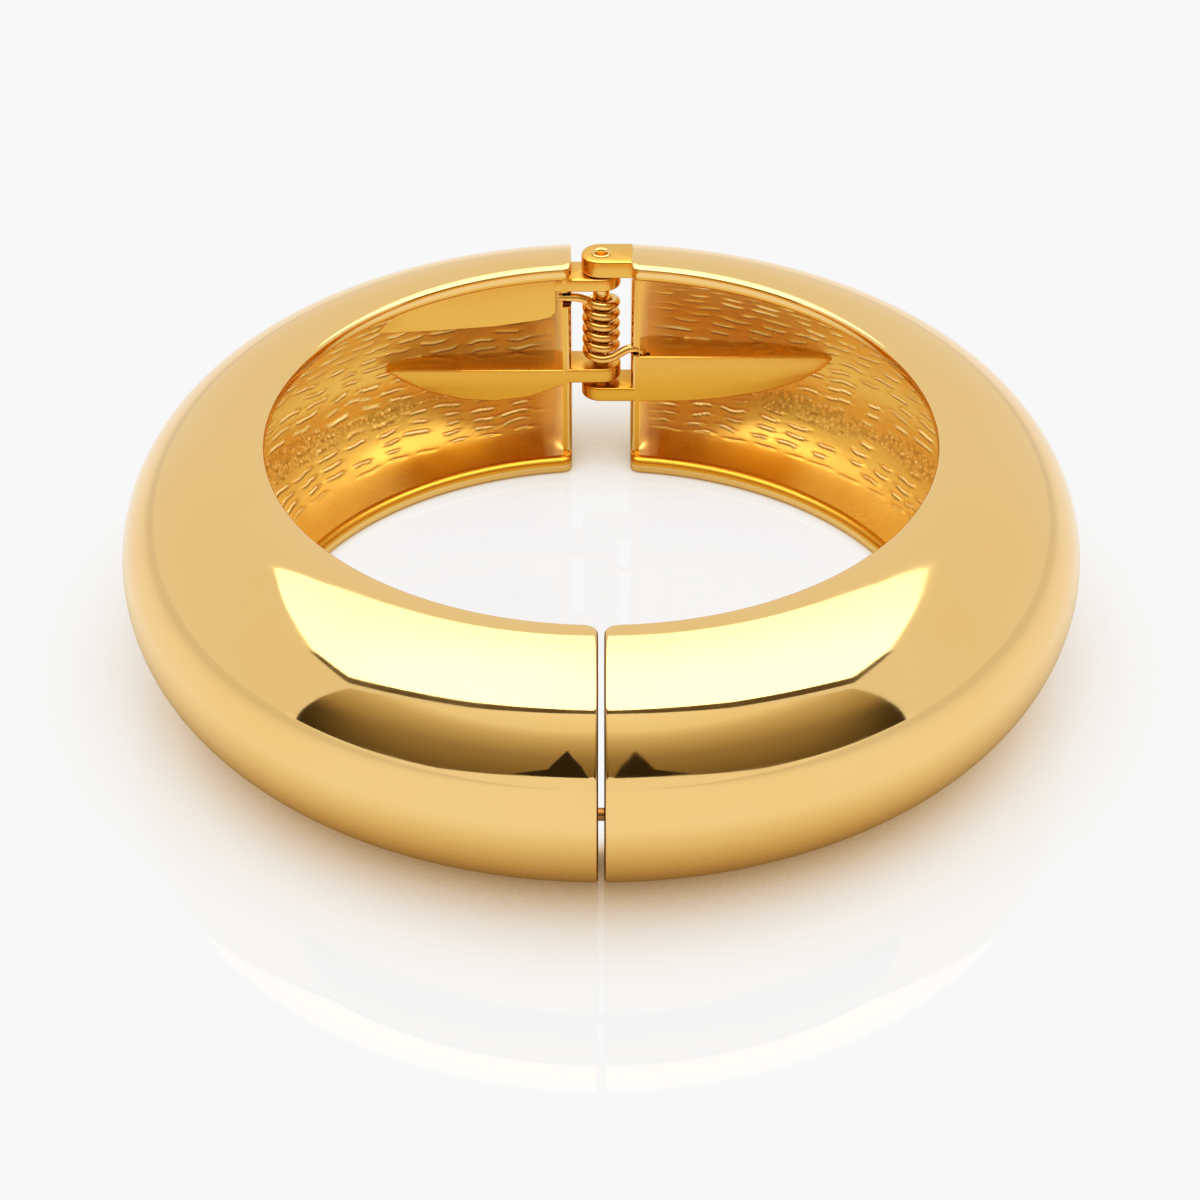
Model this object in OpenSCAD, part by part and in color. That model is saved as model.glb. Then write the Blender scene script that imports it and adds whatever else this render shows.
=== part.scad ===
// Chunky hinged bangle lying on its side: two hollow cast half shells, a tubular rivet and a torsion spring.
// The ring axis is +Z, the hinge is at +Y, the opening slit at -Y, and the bangle rests on z = 0.

/* [Ring] */
// Inner diameter that the wrist goes through
inner_d = 60; // [54:1:66]
// Height of the band along the ring axis
band_h = 23; // [22:0.5:24]
// Radius of the rounded outer skin, seen in section
skin_r = 11.6; // [11.5:0.05:12.4]
// Distance from the inner face out to the centre of the rounded skin
skin_offset = 1.6; // [1.2:0.1:2]
// Radius that softens the edges of the two rims
rim_edge_r = 0.5; // [0.3:0.1:0.7]

/* [Hollow] */
// Depth of the hollow channel behind the inner face
channel_depth = 8.4; // [6:0.2:8.6]
// Height of the channel's mouth between the two rims
channel_mouth_h = 20; // [18.5:0.5:20.5]

/* [Ends] */
// Width of the slit between the halves at the front
slit_w = 0.75; // [0.6:0.05:1]
// Width of the gap between the halves at the hinge
back_gap_w = 5.7; // [5.4:0.1:6]
// Thickness of the end walls at the slit
slit_wall_t = 1.2; // [1:0.1:2]
// Thickness of the end walls at the hinge
hinge_wall_t = 0.8; // [0.7:0.1:1.2]
// How far the hinge end walls stand back from the inner faces of the rims
hinge_wall_setback = 1.2; // [1.1:0.1:1.5]

/* [Locating peg] */
// Diameter of the peg that crosses the slit
peg_d = 1.1; // [0.9:0.1:1.3]
// Distance from the ring axis to the peg
peg_pos_r = 40.6; // [40:0.1:41]
// How far the peg reaches into the other half
peg_reach = 0.8; // [0.6:0.1:1]
// Clearance round the peg in its hole
peg_clearance = 0.2; // [0.15:0.05:0.3]

/* [Hinge] */
// Distance from the ring axis to the rivet axis
pin_pos_y = 33; // [32.8:0.1:33.4]
// Depth of the knuckles from front to back
knuckle_depth = 3.8; // [3.6:0.1:4.4]
// Outer diameter of the tubular rivet
pin_d = 1.6; // [1.4:0.1:1.8]
// Bore of the tubular rivet
pin_bore_d = 1; // [0.6:0.1:1.1]
// Diameter of the rivet's flared ends
pin_flare_d = 1.9; // [1.8:0.1:2.2]
// Radial running clearance of the rivet in the left knuckles
pin_running_gap = 0.05; // [0.03:0.01:0.08]
// Radial gap of the rivet in the right knuckles, which hold it
pin_seat_gap = 0.02; // [0.01:0.01:0.03]

/* [Spring] */
// Diameter of the spring wire
wire_d = 0.85; // [0.6:0.05:0.9]
// Outer diameter of the coil
coil_d = 3.7; // [3.4:0.1:3.8]
// Number of turns in the coil
coil_turns = 5; // [3:1:6]

/* [Hidden] */

cast_gold = [0.86, 0.66, 0.34];
steel_gold = [0.78, 0.55, 0.27];

inner_r = inner_d / 2;
mid_z = band_h / 2;
skin_pos_r = inner_r + skin_offset;
outer_r = skin_pos_r + skin_r;
reach = outer_r + 5;
rim_h = (band_h - channel_mouth_h) / 2 + 0.5;

// The channel is a round groove whose mouth height and depth are the values above.
channel_r = (pow(channel_mouth_h / 2, 2) + pow(channel_depth, 2)) / (2 * channel_depth);
channel_pos_r = inner_r + channel_depth - channel_r;

// A round surface half way through the wall, which the webs grow out from.
web_root_r = (channel_r + skin_r) / 2;
web_root_pos_r = (channel_pos_r + skin_pos_r) / 2;

// All webs and knuckles have their front faces in one upright plane.
web_face_y = pin_pos_y - knuckle_depth / 2;

// Heights of the knuckles, each [bottom, top], from the lowest to the highest.
right_low_z = [7.4, 8.9];
left_low_z = [9.5, 11];
left_high_z = [19.6, 20.95];
right_high_z = [21.1, 22.9];

// Outlines of the webs' lower edges, each row [distance across from the middle, height].
across = 0;
left_blade_top = left_low_z[1];
left_blade_edge = [
    [2, 9.5],
    [4, 9.1],
    [7, 7.9],
    [10.4, 7.4],
    [13.5, 7.6],
    [16.6, 8.4],
    [19.2, 9.6],
    [20.9, 10.85]
];
right_blade_top = 12.5;
right_blade_edge = [
    [3.25, 7.4],
    [8, 7.4],
    [11.5, 7.7],
    [16, 8.5],
    [19.3, 9.7],
    [21.3, 11],
    [22.4, 12.2]
];
left_panel_top = 22.2;
left_panel_edge = [
    [4.3, 17.4],
    [4.9, 16.8],
    [6, 16.5],
    [10.3, 15.8],
    [16.4, 15.3],
    [22.8, 15.1]
];

// Pockets behind the web faces where the spring's arms press.
pocket_depth = 1;
pocket_skin_t = 0.4;
pocket_reach = 1.6;
arm_room = 0.65;
arm_y = web_face_y + pocket_skin_t + pocket_depth / 2;

coil_r = (coil_d - wire_d) / 2;
coil_pitch = 1.18;
coil_top_z = 17.85;
coil_bottom_z = coil_top_z - coil_turns * coil_pitch;
wire_sides = 8;
steps_per_turn = 16;
lead_steps = 3;
upper_arm_z = 18.6;
lower_arm_z = 12.95;
arm_x = back_gap_w / 2 + 0.9;

// How far the knuckles' arms run into the webs, and the square heel of the right blade.
knuckle_arm = back_gap_w / 2 + 2.4;
blade_heel_w = 2;

// Whole band in section, without its hollow.
module band_section() {
    intersection() {
        translate([skin_pos_r, mid_z]) circle(r = skin_r, $fn = 96);
        union() {
            translate([inner_r + rim_edge_r, 0]) square([reach, band_h]);
            translate([inner_r, rim_edge_r]) square([skin_r, band_h - 2 * rim_edge_r]);
            translate([inner_r + rim_edge_r, rim_edge_r]) circle(r = rim_edge_r, $fn = 32);
            translate([inner_r + rim_edge_r, band_h - rim_edge_r]) circle(r = rim_edge_r, $fn = 32);
        }
    }
}

// Upright slab between two distances from the middle plane, on the hinge side or the slit side.
module slab(from_x, to_x, hinge_side) {
    translate([from_x, hinge_side ? 0 : -reach, -1]) cube([to_x - from_x, reach, band_h + 2]);
}

// One half of the band at +X with walls at both ends and an open channel between them.
module half_shell() {
    difference() {
        rotate([0, 0, -90]) rotate_extrude(angle = 180, $fn = 180) band_section();
        slab(-1, back_gap_w / 2, true);
        slab(-1, slit_w / 2, false);
        intersection() {
            rotate_extrude($fn = 180)
                translate([channel_pos_r, mid_z]) circle(r = channel_r, $fn = 96);
            union() {
                slab(back_gap_w / 2 + hinge_wall_t, reach, true);
                slab(slit_w / 2 + slit_wall_t, reach, false);
            }
        }
        translate([0, 0, rim_h])
            cube([back_gap_w / 2 + hinge_wall_t, inner_r + hinge_wall_setback, band_h - 2 * rim_h]);
    }
}

// Web at +X with its face in the web plane and its root inside the wall.
module web(edge, top) {
    ends = [[edge[len(edge) - 1][across], top], [edge[0][across], top]];
    intersection() {
        slab(back_gap_w / 2, reach, true);
        translate([0, reach, 0]) rotate([90, 0, 0])
            linear_extrude(reach - web_face_y) polygon(concat(edge, ends));
        rotate_extrude($fn = 180)
            translate([web_root_pos_r, mid_z]) circle(r = web_root_r, $fn = 96);
    }
}

// Knuckle plate round the rivet axis with an arm out to +X.
module knuckle(heights, arm_length) {
    thickness = heights[1] - heights[0];
    translate([0, pin_pos_y, heights[0]]) {
        cylinder(d = knuckle_depth, h = thickness, $fn = 64);
        translate([0, -knuckle_depth / 2, 0]) cube([arm_length, knuckle_depth, thickness]);
    }
}

module pin_hole(radial_gap) {
    translate([0, pin_pos_y, -1]) cylinder(d = pin_d + 2 * radial_gap, h = band_h + 2, $fn = 48);
}

// Half shell whose hinge holds the spring's upper arm, and whose slit end carries the peg.
module left_half() {
    color(cast_gold) mirror([1, 0, 0]) difference() {
        union() {
            half_shell();
            web(left_panel_edge, left_panel_top);
            web(left_blade_edge, left_blade_top);
            knuckle(left_high_z, knuckle_arm);
            knuckle(left_low_z, knuckle_arm);
            translate([-slit_w / 2 - peg_reach, -peg_pos_r, mid_z]) rotate([0, 90, 0])
                cylinder(d = peg_d, h = slit_w + peg_reach + slit_wall_t / 2, $fn = 32);
        }
        pin_hole(pin_running_gap);
        upper_arm_notch();
    }
}

// Notch through the end wall that leads the upper arm to its pocket behind the panel.
module upper_arm_notch() {
    notch_h = left_high_z[0] - upper_arm_z + arm_room;
    panel_x = left_panel_edge[0][across];
    translate([0, arm_y - pocket_depth / 2, left_high_z[0] - notch_h])
        cube([panel_x + pocket_reach, pocket_depth, notch_h]);
    translate([0, 0, left_high_z[0] - notch_h])
        cube([panel_x, arm_y + pocket_depth / 2, notch_h]);
}

// Half shell that holds the rivet, the spring's lower arm and the hole for the peg.
module right_half() {
    color(cast_gold) difference() {
        union() {
            half_shell();
            web(right_blade_edge, right_blade_top);
            knuckle(right_high_z, back_gap_w / 2 + hinge_wall_t);
            knuckle(right_low_z, knuckle_arm);
            translate([right_blade_edge[0][across], web_face_y, right_low_z[0]])
                cube([blade_heel_w, knuckle_depth, right_blade_top - right_low_z[0]]);
        }
        pin_hole(pin_seat_gap);
        lower_arm_notch();
        translate([0, -peg_pos_r, mid_z]) rotate([0, 90, 0])
            cylinder(d = peg_d + 2 * peg_clearance, h = slit_wall_t + slit_w, $fn = 32);
    }
}

// Notch that leads the lower arm over the end of the blade and down into a slot behind its face.
module lower_arm_notch() {
    slot_deep = 1.4;
    over_blade = lower_arm_z - right_blade_top + arm_room;
    translate([0, 0, right_blade_top])
        cube([back_gap_w / 2 + hinge_wall_t, arm_y + pocket_depth / 2, over_blade]);
    translate([arm_x - arm_room, arm_y - pocket_depth / 2, right_blade_top - slot_deep])
        cube([pocket_reach, pocket_depth, 2 * slot_deep]);
}

// Tubular rivet with a flared end above the highest knuckle and below the lowest one.
module hinge_pin() {
    lift = 0.02;
    flare_h = band_h - right_high_z[1] - lift;
    bottom_z = right_low_z[0] - lift - flare_h;
    color(steel_gold) translate([0, pin_pos_y, 0]) difference() {
        union() {
            translate([0, 0, bottom_z]) cylinder(d = pin_d, h = band_h - bottom_z, $fn = 48);
            translate([0, 0, bottom_z]) cylinder(d = pin_flare_d, h = flare_h, $fn = 48);
            translate([0, 0, band_h - flare_h]) cylinder(d = pin_flare_d, h = flare_h, $fn = 48);
        }
        translate([0, 0, bottom_z - 1]) cylinder(d = pin_bore_d, h = band_h, $fn = 48);
    }
}

// Ring of points round the wire at a place, square to its direction.
function wire_ring(place, along) =
    let(
        side = cross(along, [0, 0, 1]),
        u = side / norm(side),
        w = cross(u, along) / norm(along)
    )
    [for (i = [0:wire_sides - 1])
        let(a = 360 * i / wire_sides)
        place + wire_d / 2 * (cos(a) * u + sin(a) * w)];

// Solid wire along a path of points.
module wire(path) {
    last = len(path) - 1;
    rings = [for (i = [0:last])
        wire_ring(path[i], path[min(i + 1, last)] - path[max(i - 1, 0)])];
    sides = [for (i = [0:last - 1], j = [0:wire_sides - 1])
        let(k = (j + 1) % wire_sides)
        [i * wire_sides + j, i * wire_sides + k, (i + 1) * wire_sides + k, (i + 1) * wire_sides + j]];
    start_cap = [[for (j = [wire_sides - 1:-1:0]) j]];
    end_cap = [[for (j = [0:wire_sides - 1]) last * wire_sides + j]];
    polyhedron(points = [for (r = rings) each r], faces = concat(sides, start_cap, end_cap));
}

// Torsion spring: the coil starts at its left and ends at its front, where the two arms leave it sideways.
function coil_point(t) =
    let(a = -90 + 360 * t)
    [coil_r * cos(a), pin_pos_y + coil_r * sin(a), coil_top_z - coil_pitch * t];

module hinge_spring() {
    coil = [for (i = [-lead_steps:coil_turns * steps_per_turn]) coil_point(i / steps_per_turn)];
    upper_arm = [
        [-arm_x - 0.3, arm_y, upper_arm_z],
        [-arm_x + 1.3, arm_y, upper_arm_z],
        [-1.85, arm_y + 0.12, upper_arm_z - 0.2]
    ];
    lower_arm = [
        [1.5, arm_y - 0.35, coil_bottom_z + 0.15],
        [2.6, arm_y, lower_arm_z],
        [arm_x - 0.2, arm_y, lower_arm_z],
        [arm_x + 0.1, arm_y, lower_arm_z - 0.2],
        [arm_x + 0.25, arm_y, lower_arm_z - 0.6],
        [arm_x + 0.3, arm_y, lower_arm_z - 1.2]
    ];
    color(steel_gold) wire(concat(upper_arm, coil, lower_arm));
}

left_half();
right_half();
hinge_pin();
hinge_spring();
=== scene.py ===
import math

import bmesh
import bpy
from mathutils import Matrix, Vector, noise


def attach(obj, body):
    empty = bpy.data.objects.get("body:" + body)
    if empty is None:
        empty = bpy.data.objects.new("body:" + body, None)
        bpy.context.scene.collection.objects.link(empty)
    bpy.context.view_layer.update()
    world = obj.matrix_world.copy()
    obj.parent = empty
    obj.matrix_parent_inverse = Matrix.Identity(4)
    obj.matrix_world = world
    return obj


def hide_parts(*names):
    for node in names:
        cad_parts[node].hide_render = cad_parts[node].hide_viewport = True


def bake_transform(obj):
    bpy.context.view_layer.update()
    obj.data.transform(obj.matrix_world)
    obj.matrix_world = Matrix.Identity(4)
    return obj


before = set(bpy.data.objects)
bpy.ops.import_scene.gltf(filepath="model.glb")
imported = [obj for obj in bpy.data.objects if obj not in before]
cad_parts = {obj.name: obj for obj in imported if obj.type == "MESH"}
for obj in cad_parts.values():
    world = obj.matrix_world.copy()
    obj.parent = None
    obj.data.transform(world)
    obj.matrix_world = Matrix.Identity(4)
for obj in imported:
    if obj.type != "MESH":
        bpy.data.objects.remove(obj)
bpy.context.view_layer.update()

bpy.ops.object.select_all(action="DESELECT")

# Measures in millimetres. Pieces are shaped in millimetres and then brought to metres.
MM = 0.001

# Band: outer skin, hollow and lips. A POS is a distance from the ring's axis.
INNER_R = 30.0
MID_Z = 11.5
SKIN_POS = 31.6
SKIN_OUT = 11.59
SKIN_UP = 11.5
RIM_EDGE = 0.35
HOLLOW_POS = 28.25
HOLLOW_R = 10.15
LIP_EDGE = 0.8
HOLLOW_LIP_Z = math.sqrt(HOLLOW_R ** 2 - (INNER_R + LIP_EDGE - HOLLOW_POS) ** 2)

# Ends of a half: at the slit and at the gap of the hinge
SLIT_X = 0.25
SLIT_WALL_X = 1.575
SLIT_CORNER_R = 1.3
GAP_X = 2.85
GAP_WALL_X = 3.7
GAP_CORNER_R = 0.85
SLIT_EDGE_R = 0.3
GAP_EDGE_R = 0.25
WALL_SETBACK = 1.2
FILLET_R = 1.5
SEAM_W = 0.14
PEG_POS = 40.6
PEG_Z = 11.0
PEG_R = 0.55
PEG_EDGE_R = 0.15
PEG_SPAN = (-1.175, 1.2)
PEG_HOLE_R = 0.75
PEG_HOLE_SPAN = (-1.0, 1.4)

# Webs and knuckles
PIN_Y = 33.0
FACE_Y = 31.1
WEB_FALL = 0.25
WEB_ROOT_POS = 29.93
WEB_ROOT_R = 10.88
WEB_TIP_GAP = 0.45
KNUCKLE_R = 1.88
SOFT_EDGE_R = 0.2

# Rivet and spring
PIN_R = 0.8
PIN_ROOM = 0.05
PIN_FLARE_R = 0.95
PIN_BORE_R = 0.5
WIRE_R = 0.425
COIL_R = 1.425
COIL_TURNS = 5
COIL_PITCH = 1.18
COIL_TOP_Z = 17.85

# Fineness of the band
ROUND_STEPS = 244
HOLLOW_STEPS = 240
SKIN_STEPS = 56

# Raised dashes and beads of the cast wall. MID_R turns an angle into a way round the ring.
MID_R = 36
ROW_W = 0.95
DASH_W = 3.5
DASH_HALF = 0.16
DASH_RISE = 0.13
DASH_MISSING = 0.06
BEAD_ACROSS = -5.3
BEAD_ROUND = 85

# Knuckles: heights of the bottom and the top, and how far the arms reach from the rivet
LEFT_LOW = (9.5, 11.0)
LEFT_HIGH = (19.6, 20.95)
RIGHT_LOW = (7.4, 8.9)
RIGHT_HIGH = (21.1, 22.9)
LEFT_LOW_ARM = 3.6
LEFT_HIGH_ARM = 4.7
RIGHT_LOW_ARM = 3.6
RIGHT_HIGH_ARM = 3.05

# Lower edges of the webs, each point (distance from the middle, height), and the webs' tops
LEFT_BLADE = [(3.2, 9.25), (4, 9.1), (7, 7.9), (10.4, 7.4), (13.5, 7.6), (16.6, 8.4), (19.2, 9.6),
              (20.9, 10.85)]
RIGHT_BLADE = [(3.25, 7.4), (8, 7.4), (11.5, 7.7), (16, 8.5), (19.3, 9.7), (21.3, 11), (22.4, 12.2)]
LEFT_PANEL = [(4.3, 17.4), (4.9, 16.8), (6, 16.5), (10.3, 15.8), (16.4, 15.3), (22.8, 14.9)]
LEFT_BLADE_TOP = 11.0
RIGHT_BLADE_TOP = 12.5
LEFT_PANEL_TOP = 22.2

# Room for the spring's arms, each the low and the high corner of a box
LEFT_POCKET = ((0, 20, 17.95), (4.3, 32.5, 19.6))
LEFT_REST = ((0, 31.5, 17.95), (5.9, 32.5, 19.6))
RIGHT_POCKET = ((0, 20, 12.5), (3.65, 32.5, 13.6))
RIGHT_REST = ((3.1, 31.5, 11.1), (4.7, 32.5, 13.9))


# Hand tools

def only(*things):
    """Selects just these objects and makes the first one active."""
    bpy.ops.object.select_all(action="DESELECT")
    for thing in things:
        thing.select_set(True)
    bpy.context.view_layer.objects.active = things[0]


def open_for_edit(thing):
    only(thing)
    bpy.ops.object.mode_set(mode="EDIT")
    bpy.ops.mesh.select_mode(type="VERT")
    bpy.ops.mesh.select_all(action="DESELECT")


def close_edit():
    bpy.ops.object.mode_set(mode="OBJECT")


def pick(thing, keep):
    """Selects the corners whose place keep says yes to, and the edges and faces between them."""
    bm = bmesh.from_edit_mesh(thing.data)
    for v in bm.verts:
        v.select = keep(v.co)
    bm.select_mode = {"VERT"}
    bm.select_flush_mode()
    bmesh.update_edit_mesh(thing.data)


def shift_picked(thing, place):
    """Moves each picked corner to the place that the rule gives for it."""
    bm = bmesh.from_edit_mesh(thing.data)
    for v in bm.verts:
        if v.select:
            v.co = place(v.co)
    bmesh.update_edit_mesh(thing.data)


def fade(value, start, end):
    """Soft step from 0 at the start to 1 at the end."""
    part = min(1.0, max(0.0, (value - start) / (end - start)))
    return part * part * (3 - 2 * part)


def traced(name, points):
    """Closed line of edges, pulled out of one corner of a plane from point to point."""
    bpy.ops.mesh.primitive_plane_add(size=0.1, location=(0, 0, 0))
    thing = bpy.context.object
    thing.name = thing.data.name = name
    bpy.ops.object.mode_set(mode="EDIT")
    bpy.ops.mesh.select_mode(type="VERT")
    bpy.ops.mesh.select_all(action="SELECT")
    bpy.ops.mesh.merge(type="CENTER")
    bpy.ops.mesh.select_all(action="SELECT")
    bpy.ops.transform.translate(value=points[0])
    for here, there in zip(points, points[1:]):
        step = tuple(b - a for a, b in zip(here, there))
        bpy.ops.mesh.extrude_vertices_move(TRANSFORM_OT_translate={"value": step})
    ends = [Vector(points[0]), Vector(points[-1])]
    pick(thing, lambda co: min((co - e).length for e in ends) < 1e-5)
    bpy.ops.mesh.edge_face_add()
    bpy.ops.object.mode_set(mode="OBJECT")
    return thing


def finish_modifier(thing, kind, **settings):
    """Adds a modifier with its settings and applies it."""
    only(thing)
    tool = thing.modifiers.new(kind.lower(), kind)
    for key, value in settings.items():
        setattr(tool, key, value)
    bpy.ops.object.modifier_apply(modifier=tool.name)


def cut(thing, tool, how="DIFFERENCE"):
    """Cuts a tool piece out of a piece, or adds it, and removes the tool."""
    finish_modifier(thing, "BOOLEAN", object=tool, operation=how, solver="EXACT")
    bpy.data.objects.remove(tool, do_unlink=True)


def outward(thing):
    """Merges doubled corners and turns all the faces outwards."""
    open_for_edit(thing)
    bpy.ops.mesh.select_all(action="SELECT")
    bpy.ops.mesh.remove_doubles(threshold=0.0005)
    bpy.ops.mesh.normals_make_consistent(inside=False)
    close_edit()


def rounded(thing, width):
    """Rounds the sharp edges of a piece."""
    finish_modifier(thing, "BEVEL", width=width, segments=3, limit_method="ANGLE",
                    angle_limit=math.radians(35), use_clamp_overlap=True)


def block(name, low, high):
    """Plain box between two corners, for cutting or as the start of a piece."""
    middle = [(a + b) / 2 for a, b in zip(low, high)]
    bpy.ops.mesh.primitive_cube_add(size=1, location=middle)
    thing = bpy.context.object
    thing.name = thing.data.name = name
    thing.scale = [b - a for a, b in zip(low, high)]
    bpy.ops.object.transform_apply(location=True, rotation=True, scale=True)
    return thing


def rod(name, radius, low_z, high_z, y=0.0, sides=48):
    """Upright round bar between two heights."""
    middle = (0, y, (low_z + high_z) / 2)
    bpy.ops.mesh.primitive_cylinder_add(vertices=sides, radius=radius, depth=high_z - low_z, location=middle)
    thing = bpy.context.object
    thing.name = thing.data.name = name
    bpy.ops.object.transform_apply(location=True, rotation=True, scale=True)
    return thing


def join(name, *things):
    """One object made of several, under one name."""
    only(*things)
    bpy.ops.object.join()
    thing = bpy.context.object
    thing.name = thing.data.name = name
    return thing


def mirror_across(thing):
    """Turns a piece made on the right side into one for the left side."""
    only(thing)
    thing.scale = (-1, 1, 1)
    bpy.ops.object.transform_apply(location=True, rotation=True, scale=True)
    outward(thing)


# Half shell

def section_points():
    """Outline of the band, each point (distance from the ring's axis, height)."""
    start = math.asin(HOLLOW_LIP_Z / HOLLOW_R)
    arc = [(HOLLOW_POS + HOLLOW_R * math.cos(a), HOLLOW_R * math.sin(a))
           for a in (start - 2 * start * i / HOLLOW_STEPS for i in range(HOLLOW_STEPS + 1))]
    lip_edge = [(INNER_R + LIP_EDGE * (1 - math.sin(a)), HOLLOW_LIP_Z + 0.9 * LIP_EDGE * (1 - math.cos(a)))
                for a in (math.radians(d) for d in (15, 30, 45, 60, 75, 90))]
    rim_r = INNER_R + RIM_EDGE
    turn = math.acos((rim_r - SKIN_POS) / SKIN_OUT)
    rim_z = SKIN_UP * math.sin(turn)
    rim_edge = [(rim_r - RIM_EDGE * math.cos(a), rim_z - RIM_EDGE + RIM_EDGE * math.sin(a))
                for a in (math.radians(d) for d in (0, 18, 36, 54, 72))]
    skin = [(SKIN_POS + SKIN_OUT * math.cos(a), SKIN_UP * math.sin(a))
            for a in (turn - 2 * turn * i / SKIN_STEPS for i in range(SKIN_STEPS + 1))]
    top = lip_edge + rim_edge
    rows = arc[::-1] + top + skin + [(r, -z) for r, z in top[::-1]]
    return [(r, MID_Z + z) for r, z in rows]


def in_hollow(co):
    """True for a corner on the round wall of the hollow."""
    r = math.hypot(co.x, co.y)
    return r > INNER_R + LIP_EDGE - 0.01 and abs(math.hypot(r - HOLLOW_POS, co.z - MID_Z) - HOLLOW_R) < 0.02


def nearest(shape, co):
    """Number of the outline point that a corner stands on."""
    r = math.hypot(co.x, co.y)
    return min(range(len(shape)), key=lambda k: (shape[k][0] - r) ** 2 + (shape[k][1] - co.z) ** 2)


def carried(was, now, x, end_y):
    """Rule that takes each corner of one outline to the next outline, standing in the upright plane at x."""
    def place(co):
        r, z = now[nearest(was, co)]
        return Vector((x, end_y * math.sqrt(r * r - x * x), z))
    return place


def skin_z(r):
    """Height of the outer skin over the middle plane at a distance from the ring's axis."""
    return SKIN_UP * math.sqrt(max(0.0, 1 - ((r - SKIN_POS) / SKIN_OUT) ** 2))


def drawn_back(shape, depth):
    """Outline whose inner side is drawn out from the ring's axis, as at a rounded corner seen from above."""
    reach = 4.0
    rows = []
    for r, z in shape:
        if r >= INNER_R + reach:
            rows.append((r, z))
            continue
        r2 = INNER_R + depth + (r - INNER_R) * (reach - depth) / reach
        if r > INNER_R + RIM_EDGE - 0.01 and abs(abs(z - MID_Z) - skin_z(r)) < 0.01:
            z = MID_Z + math.copysign(skin_z(r2), z - MID_Z)
        rows.append((r2, z))
    return rows


def inset(shape, loop, depth):
    """Outline with the points of a closed loop moved inwards."""
    rows = list(shape)
    for i, k in enumerate(loop):
        (r0, z0), (r1, z1) = shape[loop[i - 1]], shape[loop[(i + 1) % len(loop)]]
        length = math.hypot(r1 - r0, z1 - z0)
        r, z = shape[k]
        rows[k] = (r + depth * (z1 - z0) / length, z - depth * (r1 - r0) / length)
    return rows


def quarter(radius, distance):
    """Depth of a round edge at a distance from its end plane."""
    rest = max(0.0, radius - distance)
    return radius - math.sqrt(radius * radius - rest * rest)


def end_wall(shell, station, wall_x, face_x, end_y, corner_r, edge_r, set_back, fillet):
    """Closes one end: a fillet in the hollow, its wall, and an end face with round corners and edges."""
    shape = section_points()
    hollow = [k for k, (r, z) in enumerate(shape) if in_hollow(Vector((r, 0, z)))]
    pick(shell, lambda co: abs(math.atan2(co.x, -co.y) - station) < 1e-4)
    last = shape
    for part in (math.radians(d) for d in ([18, 36, 54, 72, 90] if fillet else [90])):
        now = list(filleted(shape, hollow, fillet * (1 - math.cos(part))))
        bpy.ops.mesh.extrude_edges_move()
        shift_picked(shell, carried(last, now, wall_x + fillet * (1 - math.sin(part)), end_y))
        last = now
    if set_back:
        front_r = min(r for r, z in shape if r > INNER_R + set_back - 0.01)
        walled = {k for k in hollow if shape[k][0] >= front_r}
    else:
        lip_top = HOLLOW_LIP_Z + 0.95 * LIP_EDGE
        walled = set(hollow)
        walled |= {k for k, (r, z) in enumerate(shape) if r < INNER_R + 1 and abs(z - MID_Z) < lip_top}
    rim = {k for k in range(len(shape)) if k not in walled}
    edge = {k for k in walled if (k - 1) % len(shape) in rim or (k + 1) % len(shape) in rim}

    def at_wall(co):
        return abs(co.x - wall_x) < 1e-4 and co.y * end_y > 0

    pick(shell, lambda co: at_wall(co) and nearest(last, co) in walled)
    bpy.ops.mesh.edge_face_add()
    pick(shell, lambda co: at_wall(co) and nearest(last, co) in rim | edge)
    loop = [k for k in range(len(shape)) if k in rim or k in edge]
    was = last
    coarse = {round(f * corner_r, 4) for f in (0.74, 0.5, 0.29)}
    fine = {round(f * edge_r, 4) for f in (1, 0.72, 0.48, 0.3, 0.16, 0.06, 0.015, 0)}
    for depth in sorted(coarse | fine, reverse=True):
        now = inset(drawn_back(last, quarter(corner_r, depth)), loop, quarter(edge_r, depth))
        bpy.ops.mesh.extrude_edges_move()
        shift_picked(shell, carried(was, now, face_x + depth * (1 if wall_x > face_x else -1), end_y))
        was = now
    pick(shell, lambda co: abs(co.x - face_x) < 1e-4 and co.y * end_y > 0)
    bpy.ops.mesh.edge_face_add()


def filleted(shape, hollow, depth):
    """Outline with its hollow drawn in towards the middle, all but the part beside the lips."""
    inside = set(hollow)
    for k, (r, z) in enumerate(shape):
        if k not in inside or not depth:
            yield (r, z)
            continue
        pull = depth * fade(r, 31.3, 33.5)
        yield (r - pull * (r - HOLLOW_POS) / HOLLOW_R, z - pull * (z - MID_Z) / HOLLOW_R)


def half_shell(name):
    """Half band at +X: its section spun round, and an end at the slit and at the hinge."""
    first = math.asin((SLIT_WALL_X + 0.1) / INNER_R)
    last = math.pi - math.asin((GAP_WALL_X + FILLET_R + 0.2) / INNER_R)
    points = [(r * math.sin(first), -r * math.cos(first), z) for r, z in section_points()]
    shell = traced(name, points)
    open_for_edit(shell)
    bpy.ops.mesh.select_all(action="SELECT")
    bpy.ops.mesh.spin(steps=ROUND_STEPS, angle=first - last, center=(0, 0, 0), axis=(0, 0, 1))
    bpy.ops.mesh.select_all(action="SELECT")
    bpy.ops.mesh.remove_doubles(threshold=0.0005)
    end_wall(shell, first, SLIT_WALL_X, SLIT_X, -1, SLIT_CORNER_R, SLIT_EDGE_R, 0.0, 0.0)
    end_wall(shell, last, GAP_WALL_X, GAP_X, 1, GAP_CORNER_R, GAP_EDGE_R, WALL_SETBACK, FILLET_R)
    close_edit()
    outward(shell)
    return shell


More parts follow.
